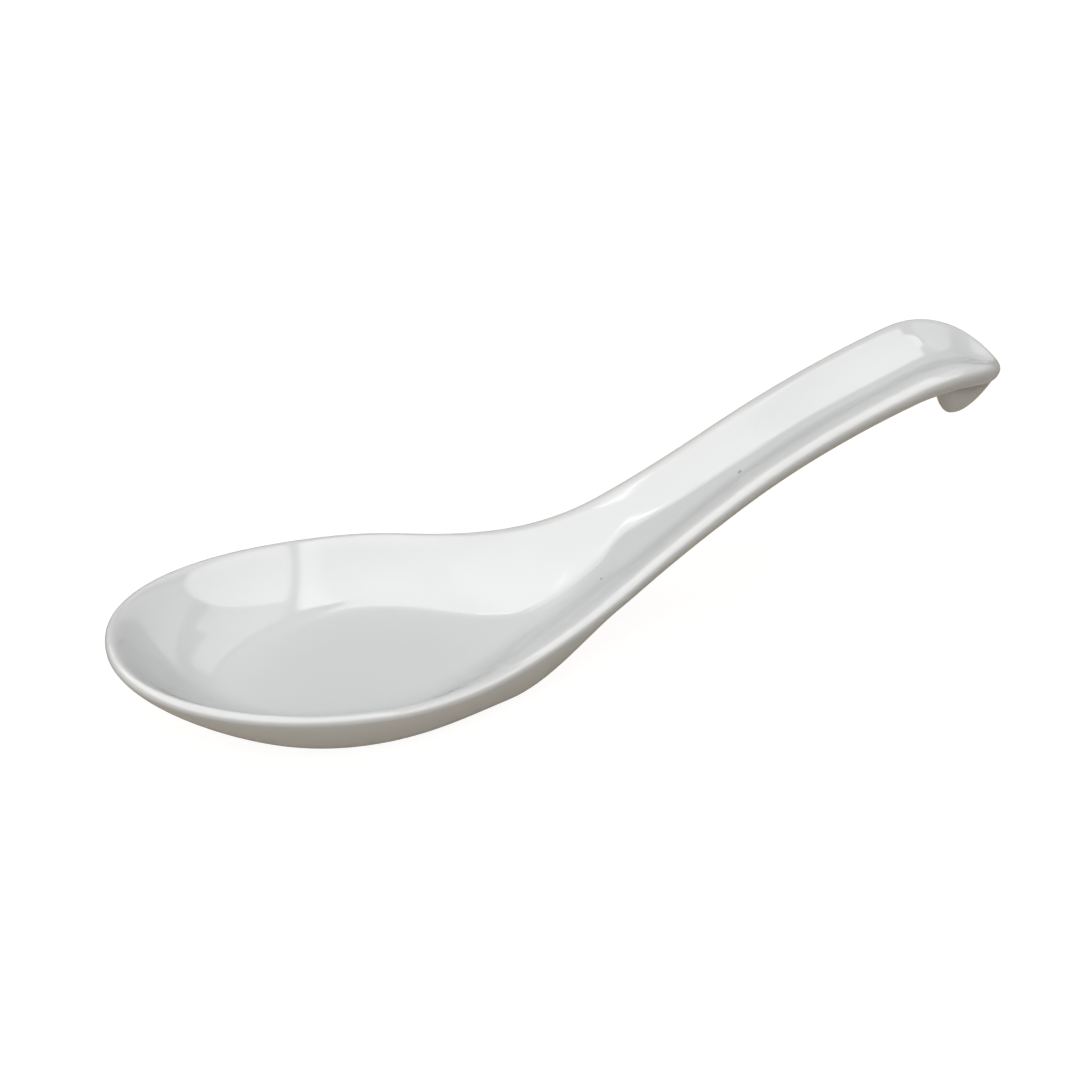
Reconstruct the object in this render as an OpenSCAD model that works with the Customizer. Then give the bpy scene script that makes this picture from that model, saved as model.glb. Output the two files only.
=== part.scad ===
// Porcelain soup spoon with a flat-floored oval bowl, a rising trough handle and a hook under its end.
// +X runs from the nose of the bowl to the end of the handle, +Y is to the left of it, and +Z is up.
// The origin lies on the table, under the middle of the spoon's length.
// Every surface is one section, swept round the outline: up the inside, over the rim and down the outside.

/* [Outline seen from above] */
// Length from the nose to the end of the handle
spoon_len = 150; // [138:1:165]
// Width of the bowl at its widest
bowl_w = 47; // [42:0.2:54]
// Width of the handle
handle_w = 18.4; // [15:0.2:21]
// Distance from the nose to the widest place of the bowl
widest_x = 40.6; // [34:0.2:44]
// Length over which the bowl narrows to the handle
shoulder_len = 34.8; // [30:0.2:39]
// Length over which the end of the handle rounds off
end_round_len = 15.4; // [10:0.2:20]
// Fullness of the nose, where 2 is an ellipse
nose_fullness = 2.15; // [1.9:0.05:2.5]
// Fullness of the shoulders
shoulder_fullness = 1.95; // [1.8:0.05:2.5]
// Distance from the nose to the joint of bowl and handle
waist_x = 75; // [74:0.5:78]

/* [Rim line seen from the side] */
// Height of the rim above the table at its lowest
bowl_h = 12.4; // [11:0.1:16]
// How far the rim rises again at the nose
nose_rise = 4.8; // [1:0.1:6]
// Distance from the nose to where the rim starts to climb
climb_x = 55.4; // [50:0.2:58]
// Radius of the bend from the bowl up into the handle
climb_r = 53; // [46:1:58]
// Angle at which the handle climbs
climb_angle = 34.3; // [26:0.1:37]
// Length of the long bend that levels the handle out
crown_len = 29.6; // [22:0.2:34]
// Angle at which the handle still climbs where the long bend ends
crown_angle = 20.5; // [14:0.1:24]
// Length of the curl at the end of the handle
curl_len = 17.2; // [13:0.2:20]
// Angle at which the end of the handle points down
droop_angle = 39.7; // [20:0.1:45]

/* [Walls and floor] */
// Radius of the rim's roll round the bowl
rim_r = 1.2; // [0.9:0.05:1.5]
// Radius of the roll along the lips of the handle
lip_r = 1.1; // [0.7:0.05:1.3]
// Thickness of the floor of the bowl
floor_t = 3.7; // [2.6:0.1:4.2]
// Height of the handle from its lips to its underside, measured upright
handle_d = 6.4; // [5.6:0.1:7.4]
// Depth of the trough along the handle
trough_d = 3.4; // [2.4:0.1:3.8]
// Depth of the trough where it runs out at the end of the handle
trough_end_d = 1.2; // [0.6:0.1:2]
// Length over which the trough runs out
trough_fade_len = 22; // [18:0.5:34]
// Distance from the nose to the end of the flat floor
floor_end_x = 56; // [52:0.5:58]
// Distance from the nose to the end of the flat underside
base_end_x = 63; // [56:0.5:64]
// Distance from the nose to where the underside has become that of the handle
base_up_x = 82.2; // [80:0.2:88]
// Distance from the nose to where the floor has become the trough
trough_x = 88; // [84:0.2:92]
// Run of the inside wall from the rim down to the floor at the nose
nose_run = 18; // [14:0.2:20]
// Run of the inside wall at the sides of the bowl
side_run = 12.2; // [9:0.1:14]
// Run of the inside wall at the waist, where it reaches the middle and leaves only a groove for a floor
waist_run = 16.5; // [13:0.5:17]
// Run of the inside wall along the handle
handle_run = 9; // [7:0.1:9.2]
// Run of the outside wall from the rim down to the underside at the nose
nose_heel = 17; // [13:0.2:19]
// Run of the outside wall at the sides of the bowl
side_heel = 6.7; // [5:0.1:9]
// Run of the outside wall at the waist
waist_heel = 6; // [4.6:0.1:8]
// Run of the outside wall along the handle
handle_heel = 4.5; // [3:0.1:6]
// Where the inside wall is steepest, from 0.6 close under the rim to 1.2 beyond its middle: in the bowl
bowl_wall_bend = 0.64; // [0.58:0.02:0.8]
// The same along the handle
trough_bend = 1.05; // [0.8:0.05:1.2]
// Roundness of the outside wall, where 2 is an ellipse
outside_roundness = 1.3; // [1.2:0.05:2]

/* [Hook] */
// Width of the hook where it joins the handle
hook_w = 7; // [5:0.2:8]
// Distance from the end of the handle to the hook's inner face
hook_reach = 10.2; // [9:0.2:13]
// How far the end of the handle stands out past the root of the hook
hook_setback = 0.6; // [0.5:0.1:2]
// How far the hook hangs below the handle
hook_drop = 6.3; // [5:0.1:8]
// How far the hook's outer face leans in on its way down
hook_lean = 4.2; // [3:0.2:5.4]
// Fullness of the hook's rounded lower end
hook_fullness = 2.4; // [2:0.1:3.4]
// Squareness of the hook seen from above, where 2 is an oval
hook_squareness = 2.5; // [2:0.1:2.8]
// Clearance of the slip joint between hook and handle
slip_gap = 0.05; // [0.02:0.01:0.1]

/* [Foot] */
// Length of the oval foot ring
foot_len = 44.5; // [36:0.5:46]
// Width of the oval foot ring
foot_w = 22; // [16:0.5:24]
// Width of the ring's standing band
foot_band = 2.2; // [1.5:0.1:3]
// Height of the foot ring
foot_h = 0.8; // [0.5:0.1:1.2]
// Distance from the nose to the near end of the foot ring
foot_x = 20; // [17:0.5:22]

/* [Hidden] */

glaze_colour = [0.9, 0.91, 0.9];
biscuit_colour = [0.86, 0.82, 0.76];

// Numbers of steps: round half of the outline of each part, and over the floor, the wall and the rim
bowl_steps = 34;
handle_steps = 34;
floor_steps = 3;
wall_steps = 10;
roll_steps = 4;
hook_root_rings = 9;
hook_rings = 12;
hook_sides = 40;
halvings = 24;
foot_sides = 72;

// Height of the bowl's floor above the table
floor_z = foot_h + floor_t;
// Where the spine of the fan round the nose lies, as a share of the length up to the waist
nose_fan_share = 0.28;
// How far before the end of the handle the fan round it starts, and how far its spine stops short of the
// end, as shares of the handle's width
end_fan_start_share = 2;
end_fan_len_share = 0.55;
end_fan_x = spoon_len - end_fan_start_share * handle_w;
end_fan_len = end_fan_len_share * handle_w;
// How far the inner walls may run towards the spine, so that a level groove is left between them
groove_share = 0.95;
// Power with which the runs of the walls change from the nose to the sides of the bowl
nose_run_power = 0.6;
// Power with which the rim rises towards the nose
nose_rise_power = 1.5;
right_angle = 90;

function lerp(a, b, t) = a + (b - a) * t;
function share(from, to, x) = max(0, min(1, (x - from) / (to - from)));
function ease(from, to, x) = let (t = share(from, to, x)) t * t * (3 - 2 * t);

// Half width of the outline at a distance x from the nose
function nose_half_w(x) =
    bowl_w / 2 * pow(max(0, 1 - pow(abs(widest_x - x) / widest_x, nose_fullness)), 1 / nose_fullness);
function shoulder_half_w(x) =
    lerp(handle_w / 2, bowl_w / 2, exp(-pow(abs(x - widest_x) / shoulder_len, shoulder_fullness)));
function end_taper(x) = sqrt(max(0, 1 - pow(share(spoon_len - end_round_len, spoon_len, x), 2)));
function half_w(x) = x < widest_x ? nose_half_w(x) : shoulder_half_w(x) * end_taper(x);

// Rim height: a level rim, a bend up, a straight climb, a long bend over and the tight curl at the end.
// The sine of the rim's slope changes evenly along x over each round bend.
climb_sin = sin(climb_angle);
crown_sin = sin(crown_angle);
droop_sin = sin(droop_angle);
climb_end_x = climb_x + climb_r * climb_sin;
curl_x = spoon_len - curl_len;
crown_x = curl_x - crown_len;
crown_r = crown_len / (climb_sin - crown_sin);
curl_r = curl_len / (crown_sin + droop_sin);
function bend_rise(r, sin_from, sin_to) = r * (sqrt(1 - sin_to * sin_to) - sqrt(1 - sin_from * sin_from));
function climb_rise(x) =
    let (run = max(0, min(x, climb_end_x) - climb_x))
    -bend_rise(climb_r, 0, run / climb_r);
function ramp_rise(x) = max(0, min(x, crown_x) - climb_end_x) * tan(climb_angle);
function crown_rise(x) =
    let (run = max(0, min(x, curl_x) - crown_x))
    bend_rise(crown_r, climb_sin, climb_sin - run / crown_r);
function curl_rise(x) =
    let (run = max(0, x - curl_x))
    bend_rise(curl_r, crown_sin, crown_sin - run / curl_r);
function nose_lift(x) = nose_rise * pow(1 - share(0, climb_x, x), nose_rise_power);
function rim_z(x) = bowl_h + nose_lift(x) + climb_rise(x) + ramp_rise(x) + crown_rise(x) + curl_rise(x);

// Floor inside, and the underside below it
function trough_depth(x) = lerp(trough_d, trough_end_d, ease(spoon_len - trough_fade_len, spoon_len, x));
function inside_z(x) = lerp(floor_z, rim_z(x) - trough_depth(x), ease(floor_end_x, trough_x, x));
function under_z(x) = lerp(foot_h, rim_z(x) - handle_d, ease(base_end_x, base_up_x, x));

// Run of a wall from its value at the nose to those at the sides, at the waist and along the handle
function wall_run(x, nose, sides, waist, along) =
    let (
        round_bowl = lerp(nose, sides, ease(0, 1, pow(share(0, widest_x, x), nose_run_power))),
        to_waist = lerp(round_bowl, waist, ease(widest_x, waist_x, x))
    )
    lerp(to_waist, along, ease(waist_x, trough_x, x));
function inside_run(x) = wall_run(x, nose_run, side_run, waist_run, handle_run);
function outside_run(x) = wall_run(x, nose_heel, side_heel, waist_heel, handle_heel);
function roll_r(x) = lerp(rim_r, lip_r, ease(widest_x, trough_x, x));
function wall_bend(x) = lerp(bowl_wall_bend, trough_bend, ease(widest_x, trough_x, x));

// Where the section that starts at x on the outline meets the middle of the spoon
function spine_x(x) =
    x < waist_x ? x + nose_fan_share * waist_x * pow(1 - x / waist_x, 3)
    : x > end_fan_x ? x - end_fan_len * pow(share(end_fan_x, spoon_len, x), 3)
    : x;

// The inside wall leaves the rim level, is steepest on its way and lands level on the floor
function inside_down(t, bend) = let (u = pow(t, bend)) u * u * (3 - 2 * u);
// How far in and how far down the outside wall is, both from 0 to 1, after a share t of its quarter turn
function outside_in(t) = 1 - pow(cos(right_angle * t), 2 / outside_roundness);
function outside_down(t) = pow(sin(right_angle * t), 2 / outside_roundness);

// The half section at x as [distance in from the outline, height], from the spine inside, up the inner
// wall, over the rim, down the outer wall and back to the spine underneath. Side is 1 or -1.
function section_point(x, side, in, z) =
    let (start = [x, half_w(x)], end = [spine_x(x), 0], t = in / norm(end - start))
    [lerp(start.x, end.x, t) - spoon_len / 2, side * lerp(start.y, end.y, t), z];
function plan_x(x, in) = lerp(x, spine_x(x), in / norm([spine_x(x) - x, half_w(x)]));
function half_section(x, side) =
    let (
        full = norm([spine_x(x) - x, half_w(x)]),
        r = roll_r(x),
        in_end = min(inside_run(x), groove_share * full),
        out_end = min(outside_run(x), full)
    )
    [
        for (k = [0:floor_steps - 1])
            let (in = lerp(full, in_end, k / floor_steps))
            section_point(x, side, in, inside_z(plan_x(x, in))),
        for (k = [wall_steps:-1:1])
            let (
                t = k / wall_steps,
                in = lerp(r, in_end, t),
                down = inside_down(t, wall_bend(x))
            )
            section_point(x, side, in, lerp(rim_z(x), inside_z(plan_x(x, in)), down)),
        for (k = [0:roll_steps])
            let (turn = right_angle * k / roll_steps)
            section_point(x, side, r * (1 - sin(turn)), rim_z(x) - r + r * cos(turn)),
        for (k = [1:wall_steps])
            let (
                in = out_end * outside_in(k / wall_steps),
                down = outside_down(k / wall_steps)
            )
            section_point(x, side, in, lerp(rim_z(x) - r, under_z(plan_x(x, in)), down)),
        for (k = [1:floor_steps])
            let (in = lerp(out_end, full, k / floor_steps))
            section_point(x, side, in, under_z(plan_x(x, in)))
    ];
section_last = 2 * floor_steps + 2 * wall_steps + roll_steps;

// Skin over a row of half sections that runs from the waist round the free end and back to the waist.
// The first and last point of each half section lie on the spine and are shared by both sides.
// First_side is the side that the row starts on, so that the skin always faces out.
module swept_body(xs, first_side) {
    last = len(xs) - 1;
    free_end = last / 2;
    sections = [for (i = [0:last]) half_section(xs[i], i < free_end ? first_side : -first_side)];
    spine_count = free_end + 1;
    function spine_row(i) = i <= free_end ? i : last - i;
    function id(i, k) =
        k == 0 ? spine_row(i)
        : k == section_last ? spine_count + spine_row(i)
        : 2 * spine_count + i * (section_last - 1) + k - 1;
    points = concat(
        [for (i = [0:free_end]) sections[i][0]],
        [for (i = [0:free_end]) sections[i][section_last]],
        [for (i = [0:last]) for (k = [1:section_last - 1]) sections[i][k]]
    );
    half = section_last / 2;
    // The short diagonals run away from the spine, so that no triangle lies along it
    function quad(a, b, c, d, flip) = flip ? [[a, b, d], [b, c, d]] : [[a, b, c], [a, c, d]];
    function is_flat(t) = t[0] == t[1] || t[1] == t[2] || t[2] == t[0];
    skin = [
        for (i = [0:last - 1])
            for (k = [0:section_last - 1])
                let (flip = (i < free_end) == (k < half))
                for (t = quad(id(i, k), id(i, k + 1), id(i + 1, k + 1), id(i + 1, k), flip))
                    if (!is_flat(t)) t
    ];
    // The waist is closed by strips between each point inside and the one opposite it outside
    cap = [
        for (k = [0:half - 1])
            let (across = section_last - k)
            for (t = concat(
                quad(id(0, k), id(0, across), id(0, across - 1), id(0, k + 1), false),
                quad(id(last, k), id(last, k + 1), id(last, across - 1), id(last, across), true)
            ))
                if (!is_flat(t)) t
    ];
    polyhedron(points = points, faces = concat(skin, cap));
}

// Distances from the nose of the sections, closer together where the outline turns
function nose_spacing(v) = waist_x * (1 - cos(right_angle * v));
function end_spacing(v) = waist_x + (spoon_len - waist_x) * sin(right_angle * v);

module bowl() {
    color(glaze_colour)
        swept_body([for (i = [-bowl_steps:bowl_steps]) nose_spacing(abs(i) / bowl_steps)], -1);
}

module handle() {
    color(glaze_colour)
        swept_body([for (i = [-handle_steps:handle_steps]) end_spacing(1 - abs(i) / handle_steps)], 1);
}

// Height of the handle's underside at a place in plan: the section through that place is found by halving
// the stretch where it can start, and the place's share of the outside wall gives the height
function section_through(x, y, from, to, left) =
    let (mid = (from + to) / 2)
    left == 0 ? mid
    : (x - mid) * half_w(mid) + (y - half_w(mid)) * (spine_x(mid) - mid) > 0
    ? section_through(x, y, mid, to, left - 1)
    : section_through(x, y, from, mid, left - 1);
function under_at(x, y) =
    let (
        from_x = section_through(x, abs(y), waist_x, spoon_len, halvings),
        in = norm([x - from_x, abs(y) - half_w(from_x)]),
        wall_share = min(1, in / outside_run(from_x)),
        down = pow(1 - pow(1 - wall_share, outside_roundness), 1 / outside_roundness)
    )
    lerp(rim_z(from_x) - roll_r(from_x), under_z(plan_x(from_x, in)), down);

// The root of the hook fits the underside of the handle. Its inner face hangs straight down, its outer face
// leans back towards the bowl, and its lower end closes round.
hook_in_x = spoon_len - hook_reach;
hook_out_x = spoon_len - hook_setback;
hook_low_z = under_z(hook_in_x) - hook_drop;
function bent(v) = sign(v) * pow(abs(v), 2 / hook_squareness);
function hook_plan(k, out_x, size) =
    let (turn = 4 * right_angle * k / hook_sides)
    [lerp(hook_in_x, out_x, (1 + size * bent(cos(turn))) / 2), size * hook_w / 2 * bent(sin(turn))];
function root_point(k, size) =
    let (place = hook_plan(k, hook_out_x, size))
    [place.x - spoon_len / 2, place.y, under_at(place.x, place.y) - slip_gap];
function hang_point(k, v) =
    let (
        size = pow(1 - pow(v, hook_fullness), 1 / hook_fullness),
        place = hook_plan(k, hook_out_x - hook_lean * v, size)
    )
    [place.x - spoon_len / 2, place.y, lerp(root_point(k, 1).z, hook_low_z, v)];
module hook() {
    sides = [0:hook_sides - 1];
    points = concat(
        [for (j = [1:hook_root_rings]) for (k = sides) root_point(k, j / hook_root_rings)],
        [for (j = [1:hook_rings - 1]) for (k = sides) hang_point(k, sin(right_angle * j / hook_rings))],
        [root_point(0, 0), hang_point(0, 1)]
    );
    last_ring = hook_root_rings + hook_rings - 2;
    count = len(points) - 2;
    function id(j, k) = j * hook_sides + k % hook_sides;
    color(glaze_colour)
        polyhedron(
            points = points,
            faces = [
                for (k = sides) each [
                    [id(0, k + 1), id(0, k), count],
                    [id(last_ring, k), id(last_ring, k + 1), count + 1],
                    for (j = [0:last_ring - 1]) each [
                        [id(j, k), id(j + 1, k + 1), id(j + 1, k)],
                        [id(j, k), id(j, k + 1), id(j + 1, k + 1)]
                    ]
                ]
            ]
        );
}

// Flat oval ring under the bowl
function oval(length, width) =
    [
        for (k = [0:foot_sides - 1])
            let (turn = 4 * right_angle * k / foot_sides)
            [length / 2 * cos(turn), width / 2 * sin(turn)]
    ];
module foot() {
    color(biscuit_colour)
        translate([foot_x + foot_len / 2 - spoon_len / 2, 0, 0])
            linear_extrude(height = foot_h)
                difference() {
                    polygon(oval(foot_len, foot_w));
                    polygon(oval(foot_len - 2 * foot_band, foot_w - 2 * foot_band));
                }
}

bowl();
handle();
hook();
foot();
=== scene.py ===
import math

import bmesh
import bpy
import numpy as np
from mathutils import Matrix, Vector


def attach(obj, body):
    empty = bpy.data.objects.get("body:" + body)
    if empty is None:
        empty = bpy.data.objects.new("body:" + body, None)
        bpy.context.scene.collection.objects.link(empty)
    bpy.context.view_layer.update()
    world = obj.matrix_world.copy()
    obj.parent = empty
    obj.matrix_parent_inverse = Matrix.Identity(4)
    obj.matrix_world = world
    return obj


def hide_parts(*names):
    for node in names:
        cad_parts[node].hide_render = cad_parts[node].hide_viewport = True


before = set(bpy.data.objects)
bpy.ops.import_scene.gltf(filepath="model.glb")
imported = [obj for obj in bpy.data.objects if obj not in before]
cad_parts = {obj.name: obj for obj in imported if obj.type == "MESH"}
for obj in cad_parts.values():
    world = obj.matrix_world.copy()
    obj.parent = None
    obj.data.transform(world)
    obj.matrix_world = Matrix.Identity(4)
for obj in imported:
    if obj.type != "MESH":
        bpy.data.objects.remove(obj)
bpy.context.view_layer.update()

# ---------------------------------------------------------------------------
# Spoon body: bowl and handle are one piece of white porcelain, pressed in a mould, trimmed with a wet
# sponge while leather-hard, dipped in clear glaze and fired. One skin runs over the waist, so the glaze
# shows no joint. All sizes are in millimetres from the nose of the bowl, as on the maker's drawing.
# ---------------------------------------------------------------------------
MM = 0.001
SPOON_LEN, BOWL_W, HANDLE_W = 150.0, 47.0, 18.4
WIDEST_X, SHOULDER_LEN, END_ROUND_LEN = 40.6, 34.8, 15.4
NOSE_FULLNESS, SHOULDER_FULLNESS, WAIST_X = 2.15, 1.95, 75.0
BOWL_H, NOSE_RISE, NOSE_RISE_POWER = 12.4, 4.8, 1.5
CLIMB_X, CLIMB_R, CLIMB_ANGLE = 55.4, 53.0, 34.3
CROWN_LEN, CROWN_ANGLE, CURL_LEN, DROOP_ANGLE = 29.6, 20.5, 17.2, 39.7
RIM_R, LIP_R, FOOT_H, FLOOR_T = 1.2, 1.5, 0.8, 3.7
HANDLE_D, TROUGH_D, TROUGH_END_D, TROUGH_FADE_LEN = 6.4, 3.4, 1.2, 22.0
FLOOR_END_X, TROUGH_X, BASE_END_X, BASE_UP_X = 56.0, 88.0, 63.0, 82.2
NOSE_RUN, SIDE_RUN, WAIST_RUN, HANDLE_RUN, NOSE_RUN_POWER = 18.0, 12.2, 16.5, 9.0, 0.6
NOSE_HEEL, SIDE_HEEL, WAIST_HEEL, HANDLE_HEEL = 17.0, 6.7, 6.6, 6.8
BOWL_WALL_BEND, TROUGH_BEND, BOWL_ROUNDNESS, HANDLE_ROUNDNESS = 0.64, 1.05, 1.3, 1.9
NOSE_FAN, END_FAN, END_FAN_LEN, FAN_POWER = 0.28 * WAIST_X, 0.55 * HANDLE_W, 2 * HANDLE_W, 3
INSIDE_RUN_SHARE, THIN_GLAZE_AND_HIGHLIGHT_W = 0.95, 1.6
NOSE_SECTIONS, END_SECTIONS = 111, 121
FLOOR_STEPS, WALL_STEPS, ROLL_STEPS = 10, 34, 10
SAME_SPOT, NO_LENGTH = 2e-6, 1e-7


def mix(a, b, t):
    return a + (b - a) * t


def share(start, end, x):
    return np.clip((x - start) / (end - start), 0.0, 1.0)


def ease(start, end, x):
    t = share(start, end, x)
    return t * t * (3 - 2 * t)


def half_width(x):
    """Half of the spoon's width at x, as the trimmer's template has it."""
    nose = np.maximum(0, 1 - (abs(WIDEST_X - x) / WIDEST_X) ** NOSE_FULLNESS) ** (1 / NOSE_FULLNESS)
    shoulder = np.exp(-(abs(x - WIDEST_X) / SHOULDER_LEN) ** SHOULDER_FULLNESS)
    end = np.sqrt(np.maximum(0, 1 - share(SPOON_LEN - END_ROUND_LEN, SPOON_LEN, x) ** 2))
    return np.where(x < WIDEST_X, BOWL_W / 2 * nose, mix(HANDLE_W / 2, BOWL_W / 2, shoulder) * end)


def rim_height(x):
    """Height of the rim over the table: level bowl, climb, crown and the curled end of the handle."""
    climb, crown = math.sin(math.radians(CLIMB_ANGLE)), math.sin(math.radians(CROWN_ANGLE))
    droop = math.sin(math.radians(DROOP_ANGLE))
    climb_end, curl_x = CLIMB_X + CLIMB_R * climb, SPOON_LEN - CURL_LEN
    crown_x = curl_x - CROWN_LEN
    crown_r, curl_r = CROWN_LEN / (climb - crown), CURL_LEN / (crown + droop)

    def rise(radius, sin_from, sin_to):
        return radius * (np.sqrt(1 - sin_to**2) - np.sqrt(1 - sin_from**2))

    z = BOWL_H + NOSE_RISE * (1 - share(0, CLIMB_X, x)) ** NOSE_RISE_POWER
    z = z - rise(CLIMB_R, 0, np.maximum(0, np.minimum(x, climb_end) - CLIMB_X) / CLIMB_R)
    z = z + np.maximum(0, np.minimum(x, crown_x) - climb_end) * math.tan(math.radians(CLIMB_ANGLE))
    z = z + rise(crown_r, climb, climb - np.maximum(0, np.minimum(x, curl_x) - crown_x) / crown_r)
    return z + rise(curl_r, crown, crown - np.maximum(0, x - curl_x) / curl_r)


def inside_height(x):
    """Height of the middle of the inside: the bowl's flat floor, which runs on as the trough's bottom."""
    depth = mix(TROUGH_D, TROUGH_END_D, ease(SPOON_LEN - TROUGH_FADE_LEN, SPOON_LEN, x))
    return mix(FOOT_H + FLOOR_T, rim_height(x) - depth, ease(FLOOR_END_X, TROUGH_X, x))


def underside_height(x):
    return mix(FOOT_H, rim_height(x) - HANDLE_D, ease(BASE_END_X, BASE_UP_X, x))


def wall_run(x, nose, side, waist, handle):
    """How far in from the rim a wall ends, from what it is at four places along the spoon."""
    bowl = mix(nose, side, ease(0, 1, share(0, WIDEST_X, x) ** NOSE_RUN_POWER))
    return mix(mix(bowl, waist, ease(WIDEST_X, WAIST_X, x)), handle, ease(WAIST_X, TROUGH_X, x))


def inside_run(x):
    return wall_run(x, NOSE_RUN, SIDE_RUN, WAIST_RUN, HANDLE_RUN)


def outside_run(x):
    return wall_run(x, NOSE_HEEL, SIDE_HEEL, WAIST_HEEL, HANDLE_HEEL)


def outside_roundness(x):
    return mix(BOWL_ROUNDNESS, HANDLE_ROUNDNESS, ease(CLIMB_X, TROUGH_X, x))


def roll_radius(x):
    return mix(RIM_R, LIP_R, ease(WIDEST_X, TROUGH_X, x))


def spine(x):
    """Where the section that starts at x on the outline ends, on the spoon's centre line."""
    nose = x + NOSE_FAN * np.clip(1 - x / WAIST_X, 0, 1) ** FAN_POWER
    end = x - END_FAN * share(SPOON_LEN - END_FAN_LEN, SPOON_LEN, x) ** FAN_POWER
    return np.where(x < WAIST_X, nose, end)


def body_sections(x, side):
    """Half sections from the floor inside, over the rim and round to the underside, one row for each x."""
    edge_y, centre = half_width(x), spine(x)
    full = np.hypot(centre - x, edge_y)
    rim, roll = rim_height(x), roll_radius(x)
    bend = mix(BOWL_WALL_BEND, TROUGH_BEND, ease(WIDEST_X, TROUGH_X, x))
    inner = np.minimum(inside_run(x), INSIDE_RUN_SHARE * full)
    outer = np.minimum(outside_run(x), full)
    points = []

    def put(inward, height):
        t = inward / full
        plan_x = mix(x, centre, t)
        points.append(np.stack([plan_x - SPOON_LEN / 2, side * edge_y * (1 - t), height(plan_x)], 1))

    for k in range(FLOOR_STEPS):
        put(mix(full, inner, k / FLOOR_STEPS), inside_height)
    for k in range(WALL_STEPS, 0, -1):
        t = k / WALL_STEPS
        down = ease(0, 1, t**bend)
        put(mix(roll, inner, t), lambda px: mix(rim, inside_height(px), down))
    for k in range(ROLL_STEPS + 1):
        turn = math.pi / 2 * k / ROLL_STEPS
        put(roll * (1 - math.sin(turn)), lambda px: rim - roll + roll * math.cos(turn))
    power = 2 / outside_roundness(x)
    for k in range(1, WALL_STEPS + 1):
        turn = math.pi / 2 * k / WALL_STEPS
        inward = 1 - max(0.0, math.cos(turn)) ** power
        down = math.sin(turn) ** power
        put(outer * inward, lambda px: mix(rim - roll, underside_height(px), down))
    for k in range(1, FLOOR_STEPS + 1):
        put(mix(outer, full, k / FLOOR_STEPS), underside_height)
    return np.stack(points, 1)


def closed_skin(name, vertices, faces, **tints):
    """A smooth skin without doubled points, facing outwards. A tint holds a value for each point."""
    mesh = bpy.data.meshes.new(name)
    mesh.from_pydata(vertices, [], faces)
    for tint, values in tints.items():
        mesh.attributes.new(tint, "FLOAT", "POINT").data.foreach_set("value", np.concatenate(values))
    bm = bmesh.new()
    bm.from_mesh(mesh)
    bmesh.ops.remove_doubles(bm, verts=bm.verts, dist=SAME_SPOT)
    bmesh.ops.dissolve_degenerate(bm, edges=bm.edges, dist=NO_LENGTH)
    bmesh.ops.recalc_face_normals(bm, faces=bm.faces)
    bm.to_mesh(mesh)
    bm.free()
    mesh.shade_smooth()
    return mesh


def spoon_skin():
    near_nose = WAIST_X * (1 - np.cos(np.linspace(0, math.pi / 2, NOSE_SECTIONS)))
    near_end = WAIST_X + (SPOON_LEN - WAIST_X) * np.sin(np.linspace(0, math.pi / 2, END_SECTIONS))
    x = np.concatenate([near_nose, near_end[1:]])
    crest = FLOOR_STEPS + WALL_STEPS
    vertices, faces, thin = [], [], []
    for side in (1, -1):
        rows = body_sections(x, side)
        count, across = rows.shape[:2]
        start = len(vertices)
        vertices.extend(map(tuple, rows.reshape(-1, 3) * MM))
        # A band along the rim's crest: warmer where the glaze pulled thin, and lighter as a painted
        # highlight.
        from_crest = np.linalg.norm(rows - rows[:, crest][:, None], axis=2)
        thin.append(np.exp(-(from_crest / THIN_GLAZE_AND_HIGHLIGHT_W) ** 2).ravel())
        for i in range(count - 1):
            for k in range(across - 1):
                a = start + i * across + k
                quad = (a, a + 1, a + across + 1, a + across)
                faces.append(quad if side < 0 else quad[::-1])
    return closed_skin("spoon_body", vertices, faces, thin_glaze=thin)


def place_in_scene(name, made):
    thing = bpy.data.objects.new(name, made)
    bpy.context.scene.collection.objects.link(thing)
    return thing


spoon_body = place_in_scene("spoon_body", spoon_skin())

POOLED_GLAZE, DRIFTED_GLAZE = (0.770, 0.788, 0.780), (0.800, 0.808, 0.797)
# The crest band's colour is warmer thin glaze and partly a painted highlight.
THIN_GLAZE_AND_HIGHLIGHT, THIN_GLAZE_AND_HIGHLIGHT_SHARE = (0.862, 0.858, 0.846, 1), 0.75
# A brown that darkens the hook's root as painted shade.
PAINTED_SEAM_SHADE = (0.42, 0.37, 0.29, 1)
IRON_DUST, CLEAN, DUST_SHARE = (0.62, 0.58, 0.52), (1, 1, 1), 0.22
DUST_R, DUST_END_R = 0.020, 0.034
IRON_SPECK, SPECK_CORE_SHARE = (0.33, 0.31, 0.28, 1), 0.45
SPECKS = (((6.5, -2.9, 15.2), 0.35), ((30.3, -1.7, 32.0), 0.5), ((74.6, 1.7, 44.8), 0.5))
glaze = bpy.data.materials.new("clear_glaze_over_porcelain")
glaze.use_nodes = True
nodes, links = glaze.node_tree.nodes, glaze.node_tree.links
surface = nodes["Principled BSDF"]
surface.inputs["IOR"].default_value = 1.52
surface.inputs["Specular IOR Level"].default_value = 0.9
place = nodes.new("ShaderNodeNewGeometry")


def feed(sockets, values):
    """Link or set each socket in turn. Like the helpers below, it works on the latest nodes and links."""
    for socket, value in zip(sockets, values):
        if isinstance(value, bpy.types.NodeSocket):
            links.new(value, socket)
        else:
            socket.default_value = value


def noise(scale, detail):
    cloud = nodes.new("ShaderNodeTexNoise")
    cloud.inputs["Scale"].default_value = scale
    cloud.inputs["Detail"].default_value = detail
    links.new(place.outputs["Position"], cloud.inputs["Vector"])
    return cloud.outputs["Fac"]


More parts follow.
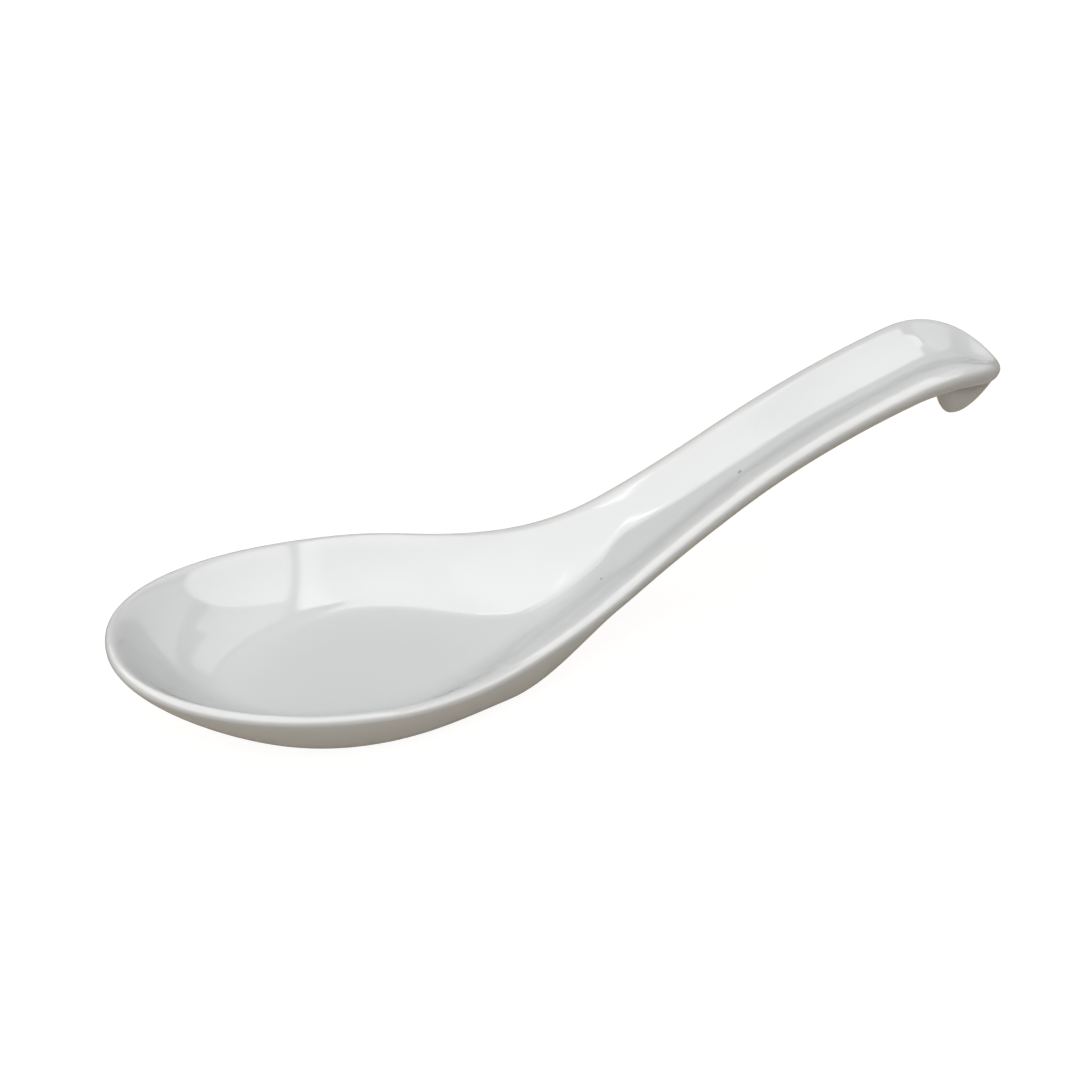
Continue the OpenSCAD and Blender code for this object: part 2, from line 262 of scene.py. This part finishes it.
def ramp(value, *stops):
    colours = nodes.new("ShaderNodeValToRGB")
    for stop, (at, colour) in zip(colours.color_ramp.elements, stops):
        stop.position, stop.color = at, (*colour, 1)
    links.new(value, colours.inputs["Fac"])
    return colours.outputs["Color"]


def blend(kind, factor, under, over):
    layer = nodes.new("ShaderNodeMix")
    layer.data_type, layer.blend_type = "RGBA", kind
    feed((layer.inputs["Factor"], layer.inputs["A"], layer.inputs["B"]), (factor, under, over))
    return layer.outputs["Result"]


def reckon(operation, *values):
    step = nodes.new("ShaderNodeMath")
    step.operation = operation
    feed(step.inputs, values)
    return step.outputs["Value"]


def tint(name):
    mark = nodes.new("ShaderNodeAttribute")
    mark.attribute_name = name
    return mark.outputs["Fac"]


def dents(height, strength, depth):
    relief = nodes.new("ShaderNodeBump")
    relief.inputs["Strength"].default_value = strength
    relief.inputs["Distance"].default_value = depth * MM
    links.new(height, relief.inputs["Height"])
    return relief


# Pooled glaze is faintly green, and drifts from place to place. Where it pulled thin over the rolled edge,
# the warmer clay shows; that band along the crest is also made lighter, as a painted highlight. Round the
# hook's root, and most on its side towards the bowl, the colour is darkened brown as painted shade.
colour = ramp(noise(scale=38.0, detail=3.0), (0.3, POOLED_GLAZE), (0.7, DRIFTED_GLAZE))
colour = blend("MIX", reckon("MULTIPLY", tint("thin_glaze"), THIN_GLAZE_AND_HIGHLIGHT_SHARE), colour, THIN_GLAZE_AND_HIGHLIGHT)
colour = blend("MULTIPLY", tint("slip_seam"), colour, PAINTED_SEAM_SHADE)

# Iron specks that burned through the glaze: three listed at their places, and a fine dust of faint ones.
dust = nodes.new("ShaderNodeTexVoronoi")
dust.inputs["Scale"].default_value = 190.0
links.new(place.outputs["Position"], dust.inputs["Vector"])
grains = ramp(dust.outputs["Distance"], (DUST_R, IRON_DUST), (DUST_END_R, CLEAN))
colour = blend("MULTIPLY", DUST_SHARE, colour, grains)
for spot, radius in SPECKS:
    away = nodes.new("ShaderNodeVectorMath")
    away.operation = "DISTANCE"
    away.inputs[1].default_value = [c * MM for c in spot]
    links.new(place.outputs["Position"], away.inputs[0])
    near = nodes.new("ShaderNodeMapRange")
    near.inputs["From Min"].default_value = radius * MM
    near.inputs["From Max"].default_value = SPECK_CORE_SHARE * radius * MM
    links.new(away.outputs["Value"], near.inputs["Value"])
    colour = blend("MIX", near.outputs["Result"], colour, IRON_SPECK)
links.new(colour, surface.inputs["Base Color"])

# The fired glaze is glossy, a little softer in patches, and lies in slow waves with a fine orange peel.
gloss = nodes.new("ShaderNodeMapRange")
gloss.inputs["To Min"].default_value, gloss.inputs["To Max"].default_value = 0.05, 0.10
links.new(noise(scale=70.0, detail=2.0), gloss.inputs["Value"])
links.new(gloss.outputs["Result"], surface.inputs["Roughness"])
waves = dents(noise(scale=85.0, detail=1.0), strength=0.35, depth=0.06)
peel = dents(noise(scale=1100.0, detail=1.0), strength=0.25, depth=0.004)
links.new(waves.outputs["Normal"], peel.inputs["Normal"])
links.new(peel.outputs["Normal"], surface.inputs["Normal"])
spoon_body.data.materials.append(glaze)
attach(spoon_body, "root")
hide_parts("bowl", "handle")

# ---------------------------------------------------------------------------
# Hook: a lug of the same clay, shaped by hand and luted with slip under the curled end of the handle, so
# that the spoon hangs on the rim of a bowl. It is glazed with the body, and painted shade darkens its
# root, most on its side towards the bowl.
# ---------------------------------------------------------------------------
HOOK_W, HOOK_REACH, HOOK_SETBACK, HOOK_DROP, HOOK_LEAN = 7.0, 10.2, 0.6, 7.2, 4.2
HOOK_FULLNESS, HOOK_SQUARENESS, ROOT_OVERLAP = 2.4, 2.5, 0.02
# Painted shade round the hook's root: how wide it is, and how strong towards the bowl and towards the tip.
SEAM_SHADE_W, SEAM_SHADE_TO_BOWL, SEAM_SHADE_TO_TIP = 1.5, 1.0, 0.25
HOOK_SIDES, HOOK_RINGS, HALVINGS = 96, 44, 40


def underside_at(x, y):
    """Height of the handle's underside over a place in plan, found along the section that crosses it."""
    low, high = np.full(x.shape, WAIST_X), np.full(x.shape, SPOON_LEN)
    y = abs(y)
    for _ in range(HALVINGS):
        start = (low + high) / 2
        edge = half_width(start)
        beyond = (x - start) * edge + (y - edge) * (spine(start) - start) > 0
        low, high = np.where(beyond, start, low), np.where(beyond, high, start)
    inward = np.hypot(x - start, y - edge)
    full = np.hypot(spine(start) - start, edge)
    t = np.minimum(1, inward / outside_run(start))
    power = outside_roundness(start)
    down = (1 - (1 - t) ** power) ** (1 / power)
    base = underside_height(mix(start, spine(start), inward / full))
    return mix(rim_height(start) - roll_radius(start), base, down)


def hook_skin():
    turn = 2 * math.pi * np.arange(HOOK_SIDES) / HOOK_SIDES
    along = np.sign(np.cos(turn)) * abs(np.cos(turn)) ** (2 / HOOK_SQUARENESS)
    across = np.sign(np.sin(turn)) * abs(np.sin(turn)) ** (2 / HOOK_SQUARENESS)
    to_tip = (1 + along) / 2
    in_x, out_x = SPOON_LEN - HOOK_REACH, SPOON_LEN - HOOK_SETBACK
    low_z = float(underside_height(np.array([in_x]))[0]) - HOOK_DROP
    root_z = underside_at(mix(in_x, out_x, to_tip), HOOK_W / 2 * across) - ROOT_OVERLAP
    rings, seam = [], []
    for v in np.sin(np.linspace(0, math.pi / 2, HOOK_RINGS)):
        size = max(0.0, 1 - v**HOOK_FULLNESS) ** (1 / HOOK_FULLNESS)
        x = mix(in_x, out_x - HOOK_LEAN * v, (1 + size * along) / 2)
        rings.append(np.stack([x - SPOON_LEN / 2, size * HOOK_W / 2 * across, mix(root_z, low_z, v)], 1))
        # Painted shade, strongest at the root and on the side towards the bowl.
        from_root = np.linalg.norm(rings[-1] - rings[0], axis=1)
        seam.append(np.exp(-(from_root / SEAM_SHADE_W) ** 2) * mix(SEAM_SHADE_TO_BOWL, SEAM_SHADE_TO_TIP, to_tip))
    vertices = [tuple(point) for ring in rings for point in ring * MM]
    faces = []
    for j in range(HOOK_RINGS - 1):
        for k in range(HOOK_SIDES):
            a, b = j * HOOK_SIDES + k, j * HOOK_SIDES + (k + 1) % HOOK_SIDES
            faces.append((a, b, b + HOOK_SIDES, a + HOOK_SIDES))
    faces.append(tuple(range(HOOK_SIDES))[::-1])
    return closed_skin("hook_lug", vertices, faces, slip_seam=seam)


hook_lug = place_in_scene("hook_lug", hook_skin())
hook_lug.data.materials.append(glaze)
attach(hook_lug, "root")
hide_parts("hook")

# ---------------------------------------------------------------------------
# Foot ring: the low oval ring that the spoon stands on. It is wiped free of glaze before the firing, so
# that it doesn't stick to the kiln shelf, and then rubbed flat.
# ---------------------------------------------------------------------------
FOOT_LEN, FOOT_W, FOOT_BAND, FOOT_X = 44.5, 22.0, 2.2, 20.0
RUBBED_W, RUBBED_CORNER, RUBBED_H, FOOT_SIDES = 0.3, 0.1, 0.08, 160
BISCUIT_PORES, BISCUIT = (0.6, 0.55, 0.48), (0.75, 0.72, 0.66)


def foot_skin():
    turn = 2 * math.pi * np.arange(FOOT_SIDES) / FOOT_SIDES
    centre = FOOT_X + FOOT_LEN / 2 - SPOON_LEN / 2
    edge = [(0.0, FOOT_H), (0.0, RUBBED_W), (RUBBED_CORNER, RUBBED_H), (RUBBED_W, 0.0)]
    profile = edge + [(FOOT_BAND - inward, z) for inward, z in reversed(edge)]
    vertices, faces = [], []
    for inward, z in profile:
        x = (FOOT_LEN / 2 - inward) * np.cos(turn) + centre
        y = (FOOT_W / 2 - inward) * np.sin(turn)
        vertices.extend((px * MM, py * MM, z * MM) for px, py in zip(x, y))
    for j in range(len(profile)):
        row, next_row = j * FOOT_SIDES, (j + 1) % len(profile) * FOOT_SIDES
        for k in range(FOOT_SIDES):
            after = (k + 1) % FOOT_SIDES
            faces.append((row + k, row + after, next_row + after, next_row + k))
    return closed_skin("foot_ring", vertices, faces)


foot_ring = place_in_scene("foot_ring", foot_skin())
biscuit = bpy.data.materials.new("bare_biscuit")
biscuit.use_nodes = True
nodes, links = biscuit.node_tree.nodes, biscuit.node_tree.links
surface = nodes["Principled BSDF"]
surface.inputs["Roughness"].default_value = 0.85
place = nodes.new("ShaderNodeNewGeometry")
grain = noise(scale=2600.0, detail=4.0)
links.new(ramp(grain, (0, BISCUIT_PORES), (1, BISCUIT)), surface.inputs["Base Color"])
grit = dents(grain, strength=0.3, depth=0.05)
links.new(grit.outputs["Normal"], surface.inputs["Normal"])
foot_ring.data.materials.append(biscuit)
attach(foot_ring, "root")
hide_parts("foot")

# ---------------------------------------------------------------------------
# Studio: a plain pale table, four soft lamps that light the spoon, and glowing panes that only mirrored
# rays see, where the glaze in the photograph mirrors a window and walls. The camera stands at the
# photograph's angle.
# ---------------------------------------------------------------------------
TABLE_HALF, TABLE_LOW, TABLE_BROWN = 3, -0.0001, (0.45, 0.385, 0.31, 1)
TABLE_GLOW, GLOW_TO_CAMERA, GLOW_TO_MIRRORS = 1.86, 0.5, 0.08
ROOM_LIGHT, ROOM_STRENGTH, WHITE = (0.93, 0.97, 1.0, 1), 0.13, (1, 1, 1, 1)


def seen_in_mirror(ray):
    return reckon("MAXIMUM", ray.outputs["Is Glossy Ray"], ray.outputs["Is Transmission Ray"])


def either(amount, first, second):
    choice = nodes.new("ShaderNodeMixShader")
    feed(choice.inputs, (amount, first, second))
    return choice.outputs["Shader"]


table = bpy.data.meshes.new("studio_table")
corners = [(x * TABLE_HALF, y * TABLE_HALF, TABLE_LOW) for x, y in ((-1, -1), (1, -1), (1, 1), (-1, 1))]
table.from_pydata(corners, [], [(0, 1, 2, 3)])
studio_table = place_in_scene("studio_table", table)
paper = bpy.data.materials.new("table_paper")
paper.use_nodes = True
nodes, links = paper.node_tree.nodes, paper.node_tree.links
surface = nodes["Principled BSDF"]
surface.inputs["Base Color"].default_value = TABLE_BROWN
surface.inputs["Roughness"].default_value = 0.9
surface.inputs["Specular IOR Level"].default_value = 0.1

# The camera sees the paper half lit and half glowing, so that a soft shadow stays, and mirrors see it glow
# faintly. The table is clear from below, so that the foot can be looked at.
white = nodes.new("ShaderNodeEmission")
white.inputs["Strength"].default_value = TABLE_GLOW
ray = nodes.new("ShaderNodeLightPath")
in_mirror = reckon("MULTIPLY", seen_in_mirror(ray), GLOW_TO_MIRRORS)
amount = reckon("MULTIPLY_ADD", ray.outputs["Is Camera Ray"], GLOW_TO_CAMERA, in_mirror)
from_above = either(amount, surface.outputs["BSDF"], white.outputs["Emission"])
place = nodes.new("ShaderNodeNewGeometry")
clear = nodes.new("ShaderNodeBsdfTransparent")
one_sided = either(place.outputs["Backfacing"], from_above, clear.outputs["BSDF"])
links.new(one_sided, nodes["Material Output"].inputs["Surface"])
table.materials.append(paper)

world = bpy.data.worlds.new("studio_room")
bpy.context.scene.world = world
world.use_nodes = True
nodes, links = world.node_tree.nodes, world.node_tree.links
room = nodes["Background"]
room.inputs["Color"].default_value = ROOM_LIGHT
room.inputs["Strength"].default_value = ROOM_STRENGTH
backdrop = nodes.new("ShaderNodeBackground")
backdrop.inputs["Color"].default_value = WHITE
backdrop.inputs["Strength"].default_value = 1.0
ray = nodes.new("ShaderNodeLightPath")
amount = reckon("MAXIMUM", ray.outputs["Is Camera Ray"], seen_in_mirror(ray))
room_or_white = either(amount, room.outputs["Background"], backdrop.outputs["Background"])
links.new(room_or_white, nodes["World Output"].inputs["Surface"])

# Each lamp: place in metres, tilt and turn in degrees, width of its square, power
LAMPS = {
    "overhead_lamp": ((-0.014, -0.051, 1.499), 2, -15, 0.7, 2.8),
    "front_lamp": ((-0.164, -0.612, 1.359), 25, -15, 0.6, 7.3),
    "low_lamp": ((-0.318, -1.187, 0.860), 55, -15, 0.6, 3.2),
    "left_lamp": ((-1.025, 0.275, 1.061), 45, -105, 0.6, 2.5),
}
for name, (spot, tilt, turn, width, power) in LAMPS.items():
    lamp = bpy.data.lights.new(name, "AREA")
    lamp.shape, lamp.size, lamp.energy = "SQUARE", width, power
    holder = place_in_scene(name, lamp)
    holder.location = spot
    holder.rotation_euler = (math.radians(tilt), 0, math.radians(turn))
    holder.visible_glossy = False

AZIMUTH, ELEVATION = math.radians(-14.98), math.radians(38.78)
PANE_H, TUBE_DROP = 1.2, 0.01
# Each pane: glow, how far it hangs under the others, and its corners, as metres to the camera's right and
# metres away from the camera for each metre of height over the spoon
PANES = {
    "window": (2.9, 0, (-0.55, -2.4), (1.28, -2.4), (0.08, 0.0), (0.0, 0.395), (-0.55, 0.395)),
    "window_edge": (3.6, 0, (1.28, -2.4), (1.4, -2.4), (0.2, 0.0), (0.08, 0.0)),
    "window_left": (3.35, 0, (-1.6, -2.4), (-0.55, -2.4), (-0.55, 0.395), (-1.6, 0.395)),
    "window_right": (3.1, 0, (1.46, -2.4), (2.2, -2.4), (1.8, -0.4), (0.46, -0.4)),
    "sill_right": (1.8, 0, (0.46, -0.4), (1.3, -0.4), (1.3, 0.1), (0.21, 0.1)),
    "wall_right": (1.75, 0, (0.21, 0.1), (0.95, 0.1), (0.95, 1.0), (0.21, 1.0)),
    "wall_nose": (1.65, 0, (1.65, -0.4), (3.4, -0.4), (3.4, 2.6), (1.65, 2.6)),
    "wall_far": (1.5, 0, (-0.8, 0.4), (0.0, 0.4), (-0.1, 0.8), (-0.8, 0.8)),
    "wall_left": (2.4, 0, (-2.3, 0.4), (-0.8, 0.4), (-0.8, 0.95), (-2.3, 1.6)),
    "far_tube": (9.0, TUBE_DROP, (-1.5, 0.377), (0.0, 0.377), (0.0, 0.395), (-1.5, 0.395)),
    "left_tube": (10.6, TUBE_DROP, (-1.065, -0.3), (-1.05, -0.3), (-1.05, 0.3), (-1.065, 0.3)),
}
for name, (glow, drop, *corners) in PANES.items():
    quad = bpy.data.meshes.new(name)
    spots = []
    for u, w in corners:
        spots.append(((u * math.cos(AZIMUTH) - w * math.sin(AZIMUTH)) * PANE_H,
                      (u * math.sin(AZIMUTH) + w * math.cos(AZIMUTH)) * PANE_H, PANE_H))
    quad.from_pydata(spots, [], [tuple(range(len(spots)))])
    light = bpy.data.materials.new(name)
    light.use_nodes = True
    nodes, links = light.node_tree.nodes, light.node_tree.links
    lit = nodes.new("ShaderNodeEmission")
    lit.inputs["Strength"].default_value = glow
    links.new(lit.outputs["Emission"], nodes["Material Output"].inputs["Surface"])
    quad.materials.append(light)
    holder = place_in_scene(name, quad)
    holder.location.z = -drop
    holder.visible_camera = holder.visible_diffuse = holder.visible_shadow = False

# The camera's distance and shift were measured in spoon lengths, and the photograph's scale in pixels for
# one spoon length.
DISTANCE, SHIFT_RIGHT, SHIFT_UP = 2.2197, -0.0212, 0.1175
SPOON_PIXELS, PHOTO_PIXELS, SENSOR_W = 870.1, 1080, 36.0
back = Vector((math.sin(AZIMUTH) * math.cos(ELEVATION), -math.cos(AZIMUTH) * math.cos(ELEVATION),
               math.sin(ELEVATION)))
right = (-back).cross(Vector((0, 0, 1))).normalized()
up = right.cross(-back)
stand = (right * SHIFT_RIGHT + up * SHIFT_UP + back * DISTANCE) * (SPOON_LEN * MM)
camera = place_in_scene("photo_camera", bpy.data.cameras.new("photo_camera"))
camera.matrix_world = Matrix.Translation(stand) @ Matrix((right, up, back)).transposed().to_4x4()
camera.data.sensor_width = SENSOR_W
camera.data.lens = SENSOR_W * SPOON_PIXELS * DISTANCE / PHOTO_PIXELS
camera.data.clip_start = 0.01
bpy.context.scene.camera = camera
bpy.context.scene.view_settings.view_transform = "Standard"
